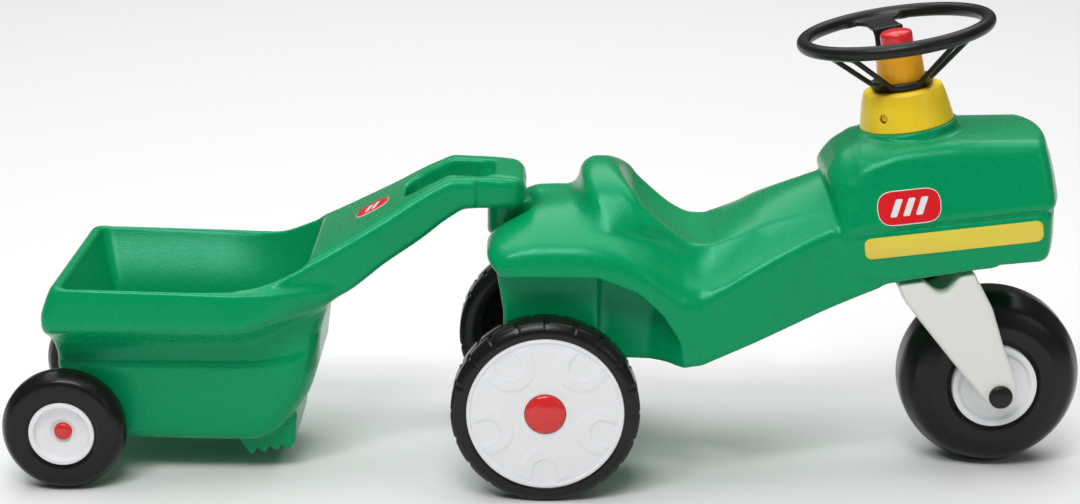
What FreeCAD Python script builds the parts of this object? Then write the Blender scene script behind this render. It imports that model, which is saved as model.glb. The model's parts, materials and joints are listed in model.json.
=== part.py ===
"""Ride-on toy tractor with a hitch-on cart.

+X is forward, +Y is the rider's left, +Z is up. The origin is on the ground, under the middle of the
whole toy. Both green bodies are hollow mouldings: each is an outer form less the same form shrunk by
the wall. The steering pieces are drawn about their own axis, with the rim's centre at zero, and their
Placement leans that axis back into the hood.
"""

import FreeCAD, Part
import math
import os

import Sketcher

SIZES = {
    # moulded walls
    "wall": 3.5,
    # places of the axles, the hitch and the steering axis
    "rear_axle_x": -5.0,
    "front_axle_x": 447.0,
    "cart_axle_x": -477.5,
    "hitch_x": -42.0,
    "rim_x": 335.0,
    "rim_z": 444.0,
    "steering_lean": 9.86,
    # tractor body
    "saddle_back_half_width": 64.0,
    "saddle_rounding": 12.0,
    "fender_half_width": 113.0,
    "fender_rounding": 9.0,
    "frame_half_width": 86.0,
    "frame_rounding": 7.0,
    "hood_half_width": 82.0,
    "hood_rounding": 12.0,
    "grille_half_width": 79.0,
    "grille_rounding": 6.0,
    "fork_clearance": 88.0,
    "collar_pad_radius": 46.0,
    "boss_radius": 18.0,
    "boss_end": -252.0,
    "hitch_root": 250.0,
    "hitch_boss_radius": 23.0,
    "hitch_boss_top": 272.0,
    "hitch_pin_radius": 15.0,
    "hitch_pin_top": 290.0,
    # rear wheels
    "rear_tyre_radius": 92.0,
    "rear_tread_depth": 3.0,
    "rear_tyre_inner": 100.0,
    "rear_tyre_outer": 138.5,
    "rear_disc_radius": 76.5,
    "rear_disc_thickness": 5.0,
    "rear_cap_radius": 20.0,
    "rear_cap_face": 142.5,
    "rear_axle_radius": 5.0,
    "rear_boss_inner": 89.0,
    # front wheel
    "front_tyre_radius": 91.2,
    "front_tyre_half_width": 43.0,
    "front_hub_radius": 42.4,
    "front_hub_half_width": 46.5,
    "front_axle_radius": 5.0,
    "front_cap_radius": 11.7,
    "front_cap_face": 81.0,
    # fork
    "fork_inner": 55.0,
    "fork_outer": 75.0,
    "fork_rounding": 5.0,
    "crown_top": -255.5,
    "crown_thickness": 12.0,
    # steering pieces, heights along the leaning axis from the rim's centre
    "rim_radius": 90.4,
    "rim_tube": 7.0,
    "spoke_width": 28.0,
    "collar_base": -92.4,
    "collar_top": -55.5,
    "collar_base_radius": 47.0,
    "collar_top_radius": 37.0,
    "collar_wall": 3.0,
    "column_radius": 23.5,
    "column_top": -19.0,
    "button_radius": 16.0,
    "button_top": 2.5,
    "button_skirt": -13.5,
    "shaft_radius": 6.0,
    "shaft_end": -270.0,
    "shaft_top": -42.0,
    "bush_radius": 10.0,
    # cart
    "cart_tyre_radius": 60.7,
    "cart_tyre_inner": 86.0,
    "cart_tyre_outer": 122.0,
    "cart_hub_radius": 32.1,
    "cart_hub_face": 122.6,
    "cart_axle_radius": 4.0,
    "cart_cap_radius": 8.5,
    "cart_cap_face": 117.0,
    "tub_half_width": 118.0,
    # stickers
    "sticker_thickness": 0.8,
}

RUNNING_GAP = 0.05  # radial clearance of a piece that turns on a pin or shaft
FREE_GAP = 0.4  # clearance of moving pieces that don't guide each other
BIG = 400.0  # longer than any cut it is used for
PRESS_GAP = 0.02  # clearance of pieces that are pressed or clamped together

document = FreeCAD.newDocument("toy_tractor")
sheet = document.addObject("Spreadsheet::Sheet", "sizes")
for row, (alias, value) in enumerate(SIZES.items(), start=1):
    sheet.set(f"A{row}", alias)
    sheet.set(f"B{row}", str(value))
    sheet.setAlias(f"B{row}", alias)
document.recompute()


def size(alias):
    """A driving dimension, read back from the sheet."""
    return float(getattr(sheet, alias))


def vector(x, y, z=0.0):
    return FreeCAD.Vector(x, y, z)


# ---------------------------------------------------------------- outlines and bodies


def rounded(outline):
    """Edges of a closed outline whose corners are (x, y) or (x, y, radius)."""
    corners = [vector(c[0], c[1]) for c in outline]
    radii = [c[2] if len(c) > 2 else 0.0 for c in outline]
    count = len(corners)
    starts, ends, middles = [], [], []
    for i in range(count):
        here = corners[i]
        back = (corners[i - 1] - here).normalize()
        on = (corners[(i + 1) % count] - here).normalize()
        half = math.acos(max(-1.0, min(1.0, back.dot(on)))) / 2
        if radii[i] <= 0 or half > math.radians(89.5):
            starts.append(here)
            ends.append(here)
            middles.append(None)
            continue
        reach = radii[i] / math.tan(half)
        starts.append(here + back * reach)
        ends.append(here + on * reach)
        bisector = (back + on).normalize()
        middles.append(here + bisector * (radii[i] / math.sin(half) - radii[i]))
    edges = []
    for i in range(count):
        if middles[i] is not None:
            edges.append(Part.Arc(starts[i], middles[i], ends[i]))
        following = starts[(i + 1) % count]
        if (following - ends[i]).Length > 1e-6:
            edges.append(Part.LineSegment(ends[i], following))
    return edges


def shrunk(outline, inset):
    """The outline moved inwards all round, with its corner radii changed to suit."""
    corners = [vector(c[0], c[1]) for c in outline]
    radii = [c[2] if len(c) > 2 else 0.0 for c in outline]
    count = len(corners)
    area = sum(
        corners[i - 1].x * corners[i].y - corners[i].x * corners[i - 1].y for i in range(count)
    )
    turn = 1.0 if area > 0 else -1.0
    result = []
    for i in range(count):
        before = (corners[i] - corners[i - 1]).normalize()
        after = (corners[(i + 1) % count] - corners[i]).normalize()
        left_before = vector(-before.y, before.x) * turn
        left_after = vector(-after.y, after.x) * turn
        bisector = left_before + left_after
        step = bisector * (2 * inset / bisector.dot(bisector))
        convex = (before.x * after.y - before.y * after.x) * turn > 0
        radius = radii[i] - inset if convex else radii[i] + inset
        moved = corners[i] + step
        result.append((moved.x, moved.y, max(radius, 0.0)))
    return result


def new_body(label):
    body = document.addObject("PartDesign::Body", label)
    body.Label = label
    return body


def sketch_on(body, plane, outline, offset=0.0, turn=0.0):
    """A sketch of one closed outline on an origin plane of the body.

    It is moved by offset along the plane's normal and turned about that normal, in degrees.
    """
    sketch = body.newObject("Sketcher::SketchObject", body.Name + "_sketch")
    support = [f for f in body.Origin.OriginFeatures if f.Role == plane][0]
    sketch.AttachmentSupport = [(support, "")]
    sketch.MapMode = "FlatFace"
    rotation = FreeCAD.Rotation(vector(0, 0, 1), turn)
    sketch.AttachmentOffset = FreeCAD.Placement(vector(0, 0, offset), rotation)
    for edge in rounded(outline):
        sketch.addGeometry(edge)
    return sketch


def circle_sketch(body, plane, centre, radius_expression, offset=0.0):
    """A sketch of one circle whose radius is bound to the sheet."""
    sketch = body.newObject("Sketcher::SketchObject", body.Name + "_circle")
    support = [f for f in body.Origin.OriginFeatures if f.Role == plane][0]
    sketch.AttachmentSupport = [(support, "")]
    sketch.MapMode = "FlatFace"
    sketch.AttachmentOffset = FreeCAD.Placement(vector(0, 0, offset), FreeCAD.Rotation())
    sketch.addGeometry(Part.Circle(vector(*centre), vector(0, 0, 1), 5.0))
    sketch.addConstraint(Sketcher.Constraint("Radius", 0, 5.0))
    sketch.setExpression("Constraints[0]", radius_expression)
    return sketch


def pad(body, sketch, length_expression, symmetric=True):
    feature = body.newObject("PartDesign::Pad", body.Name + "_pad")
    feature.Profile = sketch
    feature.SideType = "Symmetric" if symmetric else "One side"
    feature.setExpression("Length", length_expression)
    document.recompute()
    return feature


def revolve(body, outline, plane="XZ_Plane", axis="V_Axis"):
    """A full revolution of an outline about the sketch's own axis."""
    sketch = sketch_on(body, plane, outline)
    feature = body.newObject("PartDesign::Revolution", body.Name + "_revolution")
    feature.Profile = sketch
    feature.ReferenceAxis = (sketch, [axis])
    feature.Angle = 360
    document.recompute()
    return feature


def hollow(body, outline):
    """A closed turned hollow inside a body that was made by revolve."""
    before = body.Shape.Volume
    sketch = sketch_on(body, "XZ_Plane", outline)
    feature = body.newObject("PartDesign::Groove", body.Name + "_groove")
    feature.Profile = sketch
    feature.ReferenceAxis = (sketch, ["V_Axis"])
    feature.Angle = 360
    document.recompute()
    if body.Shape.Volume > before - 1.0:
        raise RuntimeError(f"{feature.Name} cut nothing")
    return feature


def soften(body, feature, radius_expression, wanted):
    """Fillets the feature's edges that the test picks."""
    names = [f"Edge{i}" for i, edge in enumerate(feature.Shape.Edges, start=1) if wanted(edge)]
    fillet = body.newObject("PartDesign::Fillet", body.Name + "_fillet")
    fillet.Base = (feature, names)
    fillet.setExpression("Radius", radius_expression)
    document.recompute()
    return fillet


def soft_slab(label, outline, half_width, rounding, inset=False):
    """A side outline given its width about the middle plane, with both rims rounded.

    With inset, the same slab smaller by the wall all round, for the hollow inside it.
    """
    body = new_body(label)
    less = " - sizes.wall" if inset else ""
    shape = shrunk(outline, size("wall")) if inset else outline
    sketch = sketch_on(body, "XZ_Plane", shape)
    feature = pad(body, sketch, f"2 * (sizes.{half_width}{less})")
    reach = feature.Shape.BoundBox.YMax

    def on_rim(edge):
        return abs(edge.BoundBox.YMin - edge.BoundBox.YMax) < 1e-6 and (
            abs(abs(edge.BoundBox.YMin) - reach) < 1e-6
        )

    soften(body, feature, f"sizes.{rounding}{less}", on_rim)
    return body


def loft(label, plane, sections):
    """A ruled loft through (offset, outline) sections along the plane's normal."""
    body = new_body(label)
    sketches = [sketch_on(body, plane, outline, offset) for offset, outline in sections]
    feature = body.newObject("PartDesign::AdditiveLoft", label + "_loft")
    feature.Profile = sketches[0]
    feature.Sections = sketches[1:]
    feature.Ruled = True
    document.recompute()
    return body


def cylinder(label, radius, length, placement):
    """A plain round bar or cutter; radius and length may be expressions or numbers."""
    bar = document.addObject("Part::Cylinder", label)
    for name, value in (("Radius", radius), ("Height", length)):
        if isinstance(value, str):
            bar.setExpression(name, value)
        else:
            setattr(bar, name, value)
    bar.Placement = placement
    document.recompute()
    return bar


def joined(label, pieces):
    result = document.addObject("Part::MultiFuse", label)
    result.Shapes = pieces
    result.Label = label
    document.recompute()
    return result


def group(label, pieces):
    """Separate solids kept as one piece."""
    result = document.addObject("Part::Compound", label)
    result.Links = pieces
    result.Label = label
    document.recompute()
    return result


def less(label, base, tool):
    """The base with the tool cut away; a tool that misses is an error."""
    result = document.addObject("Part::Cut", label)
    result.Base = base
    result.Tool = tool
    result.Label = label
    document.recompute()
    if result.Shape.Volume > base.Shape.Volume - 1.0:
        raise RuntimeError(f"{label}: the tool cut nothing")
    return result


def across(x, z, half_length):
    """Placement of a bar that lies across the toy, from -half_length."""
    return FreeCAD.Placement(vector(x, -half_length, z), FreeCAD.Rotation(vector(1, 0, 0), -90))


def steering_frame():
    """Placement of the leaning steering axis, with the rim's centre at zero."""
    lean = FreeCAD.Rotation(vector(0, 1, 0), -size("steering_lean"))
    return FreeCAD.Placement(vector(size("rim_x"), 0, size("rim_z")), lean)


def on_steering_axis(height):
    """Placement of something that starts at a height along the steering axis."""
    return steering_frame() * FreeCAD.Placement(vector(0, 0, height), FreeCAD.Rotation())


def at_hitch(height):
    """Placement of an upright piece on the hitch's axis."""
    return FreeCAD.Placement(vector(size("hitch_x"), 0, height), FreeCAD.Rotation())


def axle_frame(x, z, side=1):
    """Placement that turns a piece's own Z axis outwards along the axle, left or right."""
    return FreeCAD.Placement(vector(x, 0, z), FreeCAD.Rotation(vector(1, 0, 0), -90 * side))


# ---------------------------------------------------------------- tractor body

HOOD_FLOOR = (339.0, 208.0)  # a point of the hood's underside, which is square to the steering axis

FRAME = [
    (-44, 66, 12), (46, 66, 14), (56, 134, 12), (112, 134), (112, 240), (-57, 240), (-47, 179),
]
FENDER = [
    (-50, 213, 11), (-69, 236, 16), (-55, 263, 14), (10, 273, 60), (112, 254, 30), (152, 232, 14),
    (140, 176), (117, 176), (104, 198, 30), (66, 215, 30),
]
SADDLE_BACK = [
    (14, 240), (16, 280, 30), (31, 305, 15), (50, 309, 15), (72, 286, 60), (110, 252, 60),
    (160, 238), (160, 215), (14, 215),
]
HOOD = [
    (283, 257, 3), (264, 300, 12), (294, 341, 36), (400, 356, 60), (466, 354, 20), (482, 316, 30),
    (491, 283, 3), (472, 281),
]
GRILLE = [
    (284, 262), (300, 213, 8), (336, HOOD_FLOOR[1], 3), (438, 226, 20), (474, 234, 14),
    (480, 270), (472, 300), (300, 300),
]


def flank_section(x, low, crease, top, width, rim):
    """Cross-section of the flank: upright side, crease, then a slope up to the saddle's rim."""
    outline = [
        (-width, low, 6), (width, low, 6), (width, crease, 12), (rim, top, 16), (-rim, top, 16),
        (-width, crease, 12),
    ]
    return x, outline


def flank(label, inset):
    """The middle of the body, from the wheel wells to the hood, seat dip included."""
    thick = size("wall") if inset else 0.0
    sections = [
        flank_section(104, 136, 197, 258, 106, 64),
        flank_section(150, 129, 211, 243, 100, 56),
        flank_section(195, 148, 225, 249, 96, 54),
        flank_section(240, 168, 240, 281, 85, 40),
        flank_section(300, 193, 259, 308, 76, 40),
        flank_section(345, 211, 272, 316, 74, 40),
    ]
    ends = {sections[0][0]: thick, sections[-1][0]: -thick}
    placed = [
        (x + ends.get(x, 0.0), shrunk(outline, thick) if thick else outline)
        for x, outline in sections
    ]
    return loft(label, "YZ_Plane", placed)


def tractor_form(prefix, inset):
    """Every slab of the green body, or of the hollow inside it."""
    return [
        soft_slab(prefix + "frame", FRAME, "frame_half_width", "frame_rounding", inset),
        soft_slab(prefix + "fender", FENDER, "fender_half_width", "fender_rounding", inset),
        flank(prefix + "flank", inset),
        soft_slab(
            prefix + "saddle_back", SADDLE_BACK, "saddle_back_half_width", "saddle_rounding", inset
        ),
        soft_slab(prefix + "hood", HOOD, "hood_half_width", "hood_rounding", inset),
        soft_slab(prefix + "grille", GRILLE, "grille_half_width", "grille_rounding", inset),
    ]


def fork_pocket(label, extra):
    """The round space under the hood that the fork's crown turns in."""
    lean = math.radians(size("steering_lean"))
    across_axis = (HOOD_FLOOR[0] - size("rim_x")) * -math.sin(lean)
    ceiling = across_axis + (HOOD_FLOOR[1] - size("rim_z")) * math.cos(lean)
    depth = 150.0
    radius = size("fork_clearance") + extra
    return cylinder(label, radius, depth, on_steering_axis(ceiling + extra - depth))


def tractor_body():
    sink = 24.0  # depth of the collar's pad in the hood
    seat_radius = size("collar_base_radius") + 1
    past_hood = 60.0
    collar_pad = cylinder(
        "collar_pad", "sizes.collar_pad_radius", sink, on_steering_axis(size("collar_base") - sink)
    )
    hitch_boss = cylinder(
        "hitch_boss", "sizes.hitch_boss_radius", "sizes.hitch_boss_top - sizes.hitch_root",
        at_hitch(size("hitch_root")),
    )
    hitch_pin = cylinder(
        "hitch_pin", "sizes.hitch_pin_radius", "sizes.hitch_pin_top - sizes.hitch_root",
        at_hitch(size("hitch_root")),
    )
    outer = joined("body_outer", tractor_form("outer_", False) + [collar_pad, hitch_boss, hitch_pin])
    collar_seat = cylinder(
        "collar_seat", seat_radius, past_hood, on_steering_axis(size("collar_base"))
    )
    cleared = joined("outer_cuts", [fork_pocket("fork_room", 0.0), collar_seat])
    outer = less("body_outer_cleared", outer, cleared)
    tube_length = 60.0
    spindle_tube = cylinder(
        "spindle_tube", "sizes.boss_radius", tube_length, on_steering_axis(size("boss_end"))
    )
    core = joined("body_core", tractor_form("core_", True))
    seat_wall = cylinder(
        "collar_seat_wall", seat_radius + size("wall"), past_hood,
        on_steering_axis(size("collar_base") - size("wall")),
    )
    walls = joined("core_cuts", [fork_pocket("fork_room_wall", size("wall")), seat_wall])
    core = less("body_core_cleared", core, walls)
    core = less("body_core_tube", core, spindle_tube)
    shell = less("body_shell", outer, core)
    shell = joined("body_with_spindle", [shell, spindle_tube])
    cuts = [
        cylinder("spindle_bore", size("bush_radius") + RUNNING_GAP, BIG,
                 on_steering_axis(size("shaft_end") - 50)),
        cylinder("axle_bore", size("rear_axle_radius") + RUNNING_GAP, BIG,
                 across(size("rear_axle_x"), size("rear_tyre_radius"), BIG / 2)),
    ]
    return less("tractor_body", shell, joined("body_bores", cuts))


# ---------------------------------------------------------------- cart body


def plan(rear, front, half_width, corner, nose=None):
    """A level section of the tub, symmetric about the middle; nose is (x, half width) of its front."""
    if nose is None:
        right = [(rear, -half_width, corner), (front, -half_width, corner)]
    else:
        right = [(rear, -half_width, corner), (front, -half_width, corner), (nose[0], -nose[1], corner)]
    left = [(x, -y, r) for x, y, r in reversed(right)]
    return right + left


def tub_sections(inset):
    t = size("wall") if inset else 0.0
    wide = size("tub_half_width")
    levels = [
        (38 + t, plan(-474, -282, 76, 14, (-270, 60))),
        (58, plan(-482, -262, 79, 14, (-252, 64))),
        (129, plan(-489, -238, 82, 14, (-226, 68))),
        (133, plan(-489, -240, 86, 14, (-224, 70))),
        (170, plan(-495, -290, wide, 12, (-208, 84))),
        (176, plan(-495, -290, wide, 12, (-206, 84))),
        (206 - t, plan(-484, -294, 106, 10, (-214, 84))),
    ]
    return [(z, shrunk(outline, t) if inset else outline) for z, outline in levels]


def tongue_section(x, low, top, width, corner):
    return x, [(-width, low, corner), (width, low, corner), (width, top, corner), (-width, top, corner)]


def tongue_sections(inset):
    t = size("wall") if inset else 0.0
    stations = [
        tongue_section(-298, 170, 203, 104, 10),
        tongue_section(-236, 180, 229, 90, 10),
        tongue_section(-203, 193, 246, 81, 10),
        tongue_section(-150, 230, 275, 68, 10),
        tongue_section(-100, 266, 302, 54, 10),
        tongue_section(-84, 273, 303, 51, 10),
        tongue_section(-40, 273, 301, 48, 10),
        tongue_section(-25, 276, 297, 34, 8),
    ]
    ends = {stations[0][0]: t, stations[-1][0]: -t}
    return [
        (x + ends.get(x, 0.0), shrunk(outline, t) if inset else outline) for x, outline in stations
    ]


def tub_hollow(label, grow):
    """The open hollow of the tub; grown by the wall, it keeps the inner wall solid."""
    levels = [
        (58 - grow, plan(-446 - grow, -282, 64 + grow, 14, (-266 + grow, 50 + grow))),
        (230, plan(-468 - grow, -298, 98 + grow, 10, (-238 + grow, 82 + grow))),
    ]
    return loft(label, "XY_Plane", levels)


def cart_foot():
    """The ridged foot that the unhitched cart tips forward on."""
    ridges = 4
    pitch = 12.0
    outline = [(-316, 42)]
    for ridge in range(ridges):
        x = -306 + ridge * pitch
        low = 17.0 + ridge * 1.6
        outline += [(x, low + 4.5, 1), (x + pitch * 0.3, low, 2), (x + pitch * 0.8, low, 2)]
    outline += [(-257, 27, 2), (-254, 60)]
    body = new_body("cart_foot")
    sketch = sketch_on(body, "XZ_Plane", outline)
    pad(body, sketch, "120")
    return body


def cart_body():
    outer = joined("cart_outer", [
        loft("tub_outer", "XY_Plane", tub_sections(False)),
        loft("tongue_outer", "YZ_Plane", tongue_sections(False)),
        cart_foot(),
    ])
    core = joined("cart_core_whole", [
        loft("tub_core", "XY_Plane", tub_sections(True)),
        loft("tongue_core", "YZ_Plane", tongue_sections(True)),
    ])
    core = less("cart_core_tub", core, tub_hollow("inner_wall", size("wall")))
    wall = size("wall")
    slot = [(-144, -27, 12), (-60, -27, 8), (-60, 27, 8), (-144, 27, 12)]
    slot_wall = new_body("grip_wall")
    pad(slot_wall, sketch_on(slot_wall, "XY_Plane", shrunk(slot, -wall), 260), "200")
    core = less("cart_core_grip", core, slot_wall)
    socket_wall = cylinder(
        "socket_wall", size("hitch_pin_radius") + FREE_GAP + wall, 40.0,
        at_hitch(255.0),
    )
    core = less("cart_core_socket", core, socket_wall)
    axle_tube = cylinder("cart_axle_tube", size("cart_axle_radius") + wall, BIG,
                         across(size("cart_axle_x") + 8, size("cart_tyre_radius"), BIG / 2))
    core = less("cart_core", core, axle_tube)
    shell = less("cart_shell", outer, core)
    grip = new_body("grip_slot")
    pad(grip, sketch_on(grip, "XY_Plane", slot, 260), "200")
    cuts = [
        tub_hollow("tub_room", 0.0),
        grip,
        cylinder("hitch_socket", size("hitch_pin_radius") + FREE_GAP, 40.0,
                 at_hitch(252.0)),
        cylinder("cart_axle_bore", size("cart_axle_radius") + RUNNING_GAP, BIG,
                 across(size("cart_axle_x"), size("cart_tyre_radius"), BIG / 2)),
    ]
    return less("cart_body", shell, joined("cart_cuts", cuts))


# ---------------------------------------------------------------- wheels


def both_sides(name, make):
    """One piece on each side of the toy: +1 is the left side, -1 the right."""
    return [make(f"{name}_left", 1), make(f"{name}_right", -1)]


REAR_LUGS = 20  # lugs in each of the two staggered rows


def rear_tyre(label, side):
    """Blow-moulded wheel: tread with lugs, a web behind the disc and a long boss on the axle."""
    radius = size("rear_tyre_radius")
    base = radius - size("rear_tread_depth")
    inner = size("rear_tyre_inner")
    outer = size("rear_tyre_outer")
    seat = size("rear_disc_radius") + RUNNING_GAP
    web = outer - size("rear_disc_thickness") - 2
    bore = size("rear_axle_radius") + RUNNING_GAP
    body = new_body(label)
    revolve(body, [
        (bore, size("rear_boss_inner")), (16, size("rear_boss_inner")), (16, web - 6, 4),
        (70, web - 6, 6), (70, inner + 4, 3), (base - 5, inner, 3), (base, inner + 6, 3),
        (base, outer - 7, 3), (base - 6, outer, 4), (seat, outer), (seat, web), (bore, web),
    ])
    half_width = 0.34 * math.pi / REAR_LUGS * base
    lug = [
        (base - 1, -half_width), (radius, -half_width), (radius, half_width), (base - 1, half_width),
    ]
    for row, (start, turn) in enumerate(((inner + 3, 0.0), (inner + 17, 180.0 / REAR_LUGS))):
        block = body.newObject("PartDesign::Pad", f"{label}_lug_{row}")
        block.Profile = sketch_on(body, "XY_Plane", lug, start, turn)
        block.Length = 18
        ring = body.newObject("PartDesign::PolarPattern", f"{label}_lugs_{row}")
        ring.Originals = [block]
        ring.Axis = (block.Profile[0], ["N_Axis"])
        ring.Angle = 360
        ring.Occurrences = REAR_LUGS
        body.Tip = ring
    body.Placement = axle_frame(size("rear_axle_x"), radius, side)
    document.recompute()
    return body


def rear_disc(label, side):
    """White embossed disc, with the cap's hole in its middle."""
    outer = size("rear_tyre_outer")
    back = outer - size("rear_disc_thickness") - 1
    hole = size("rear_cap_radius") + FREE_GAP
    rim = size("rear_disc_radius")
    body = new_body(label)
    revolve(body, [
        (hole, back), (rim, back), (rim, outer - 1.5, 1), (rim - 9, outer - 0.5), (hole, outer - 0.5),
    ])
    body.Placement = axle_frame(size("rear_axle_x"), size("rear_tyre_radius"), side)
    return body


def cap_outline(radius, base, face, bore, depth):
    """Half section of a domed push-on cap over an axle's end."""
    return [
        (0, depth), (bore, depth), (bore, base), (radius, base), (radius, face - 3, 2),
        (radius * 0.6, face, 8), (0, face),
    ]


def paired_caps(label, x, z, radius, base, face, axle_radius):
    """Two equal caps, one on each end of an axle."""
    caps = []
    for side, word in ((1, "left"), (-1, "right")):
        body = new_body(f"{label}_{word}")
        revolve(body, cap_outline(radius, base, face, axle_radius, face - 3.0))
        body.Placement = axle_frame(x, z, side)
        caps.append(body)
    return group(label, caps)


def axle(label, x, z, radius, half_length):
    body = new_body(label)
    sketch = circle_sketch(body, "XY_Plane", (0, 0), f"sizes.{radius}")
    pad(body, sketch, f"2 * {half_length}")
    body.Placement = axle_frame(x, z)
    return body


def front_tyre():
    """Balloon tyre on a straight bore, blow-moulded hollow."""
    radius = size("front_tyre_radius")
    half = size("front_tyre_half_width")
    bore = size("front_hub_radius") + RUNNING_GAP
    outline = [
        (bore, -half + 5), (bore + 8, -half, 6), (radius - 12, -half, 26), (radius, -12, 30),
        (radius, 12, 30), (radius - 12, half, 26), (bore + 8, half, 6), (bore, half - 5),
    ]
    body = new_body("front_tyre")
    revolve(body, outline)
    hollow(body, shrunk(outline, size("wall")))
    body.Placement = axle_frame(size("front_axle_x"), radius)
    return body


def front_hub():
    """White hollow hub with a dished face on each side."""
    radius = size("front_hub_radius")
    half = size("front_hub_half_width")
    bore = size("front_axle_radius") + RUNNING_GAP
    outline = [
        (bore, -half - 5), (14, -half - 5, 1), (15, -half + 3, 2), (radius - 5, -half + 1, 2),
        (radius, -half, 1), (radius, half, 1), (radius - 5, half - 1, 2), (15, half - 3, 2),
        (14, half + 5, 1), (bore, half + 5),
    ]
    body = new_body("front_hub")
    revolve(body, outline)
    hollow(body, shrunk(outline, size("wall")))
    body.Placement = axle_frame(size("front_axle_x"), size("front_tyre_radius"))
    return body


def cart_tyre(label, side):
    """Smooth tyre with a boss that spaces the wheel from the cart."""
    radius = size("cart_tyre_radius")
    inner = size("cart_tyre_inner")
    outer = size("cart_tyre_outer")
    bore = size("cart_hub_radius") + RUNNING_GAP
    body = new_body(label)
    revolve(body, [
        (bore, inner + 3), (bore + 4, inner, 3), (radius - 6, inner, 8), (radius, inner + 14, 14),
        (radius, outer - 14, 14), (radius - 7, outer - 1, 9), (bore + 4, outer, 3), (bore, outer - 2),
    ])
    body.Placement = axle_frame(size("cart_axle_x"), radius, side)
    return body


def cart_hub(label, side):
    """White hub, dished down to the cap."""
    radius = size("cart_hub_radius")
    face = size("cart_hub_face")
    inner = size("cart_tyre_inner")
    bore = size("cart_axle_radius") + RUNNING_GAP
    cap = size("cart_cap_radius") + FREE_GAP
    body = new_body(label)
    revolve(body, [
        (bore, inner - 2), (14, inner - 2, 2), (14, inner + 5, 2), (radius, inner + 5),
        (radius, face, 1.5), (radius - 5, face, 1.5), (cap + 2, face - 9, 2), (cap, face - 9),
        (cap, face - 12), (bore, face - 12),
    ])
    body.Placement = axle_frame(size("cart_axle_x"), size("cart_tyre_radius"), side)
    return body


# ---------------------------------------------------------------- fork and steering


def fork():
    """Inverted U: a leg each side of the wheel, joined by a web square to the steering axis."""
    axle_x = size("front_axle_x")
    axle_z = size("front_tyre_radius")
    leg = [
        (339, 205, 4), (347, 188, 20), (405, 117, 60), (431, 87, 10), (446, 74, 12), (464, 82, 14),
        (463, 104, 10), (447, 144, 60), (434, 182, 40), (414, 218, 4), (398, 214.5, 4),
        (384, 194, 12), (364, 208.5, 4),
    ]
    body = new_body("fork_legs")
    both = pad(body, sketch_on(body, "XZ_Plane", leg), "2 * sizes.fork_outer")
    reach = size("fork_outer")
    soften(body, both, "sizes.fork_rounding", lambda e: abs(abs(e.CenterOfMass.y) - reach) < 1e-6)
    inner = size("fork_inner")
    top = size("crown_top")
    web_low = top - size("crown_thickness")
    gap = new_body("fork_gap")
    pad(gap, sketch_on(gap, "YZ_Plane", [
        (-inner, -BIG), (inner, -BIG), (inner, web_low, 10), (-inner, web_low, 10),
    ]), "400")
    gap.Placement = steering_frame()
    over = new_body("fork_over")
    pad(over, sketch_on(over, "YZ_Plane", [
        (-inner, top), (inner, top), (inner, top + 60), (-inner, top + 60),
    ]), "400")
    over.Placement = steering_frame()
    shaft_bore = cylinder("fork_shaft_bore", size("shaft_radius") + PRESS_GAP, 60.0,
                          on_steering_axis(size("shaft_end") - 20.0))
    axle_bore = cylinder("fork_axle_bore", size("front_axle_radius") + PRESS_GAP, BIG,
                         across(axle_x, axle_z, BIG / 2))
    cuts = joined("fork_cuts", [gap, over, shaft_bore, axle_bore])
    return less("fork", body, cuts)


def steering_piece(label, outline):
    """A turned piece on the steering axis, with heights from the rim's centre."""
    body = new_body(label)
    revolve(body, outline)
    body.Placement = steering_frame()
    return body


SCREW_ANGLES = (232.0, 52.0)
SCREW_HOLE_RADIUS = 4.2
SCREW_HEAD_RADIUS = 4.1


def screw_frame(angle, distance=0.0):
    """Placement half-way up the collar that points outwards at an angle round the axis."""
    height = (size("collar_base") + size("collar_top")) / 2 - 4
    outwards = FreeCAD.Rotation(vector(0, 0, 1), angle) * FreeCAD.Rotation(vector(0, 1, 0), 90)
    middle = FreeCAD.Placement(vector(0, 0, height), outwards)
    along = FreeCAD.Placement(vector(0, 0, distance), FreeCAD.Rotation())
    return steering_frame() * middle * along


def dash_collar():
    """Tapered cap on the hood that holds the top of the column."""
    base, top = size("collar_base"), size("collar_top")
    base_radius, top_radius = size("collar_base_radius"), size("collar_top_radius")
    thick = size("collar_wall")
    bore = size("shaft_radius") + RUNNING_GAP
    blank = steering_piece("collar_blank", [
        (base_radius - thick, base), (base_radius, base), (top_radius, top, 3),
        (bore, top), (bore, top - 12), (12, top - 12), (12, top - thick), (top_radius - thick, top - thick),
    ])
    holes = [
        cylinder(f"screw_hole_{index}", SCREW_HOLE_RADIUS, base_radius, screw_frame(angle, 20.0))
        for index, angle in enumerate(SCREW_ANGLES)
    ]
    return less("dash_collar", blank, joined("screw_holes", holes))


def collar_screws():
    """One short screw in each side of the collar, its head sunk in the hole."""
    outer = (size("collar_base_radius") + size("collar_top_radius")) / 2
    screws = []
    for index, angle in enumerate(SCREW_ANGLES):
        body = new_body(f"collar_screw_{index}")
        revolve(body, [
            (0, outer - 13), (2, outer - 13), (2, outer - 4), (SCREW_HEAD_RADIUS, outer - 4),
            (SCREW_HEAD_RADIUS, outer - 1.5, 1), (0, outer - 1.5),
        ])
        body.Placement = screw_frame(angle)
        screws.append(body)
    return group("collar_screws", screws)


def steering_column():
    """Barrel under the horn button: blind bore for the shaft, pocket for the spring and button."""
    radius = size("column_radius")
    low = size("collar_top") + 0.6
    top = size("column_top")
    bore = size("shaft_radius") + PRESS_GAP
    return steering_piece("steering_column", [
        (bore, low), (radius - 1, low, 1), (radius, low + 10, 4), (radius - 1.5, top, 3),
        (9.4, top), (9.4, top - 22), (bore, top - 22),
    ])


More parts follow.
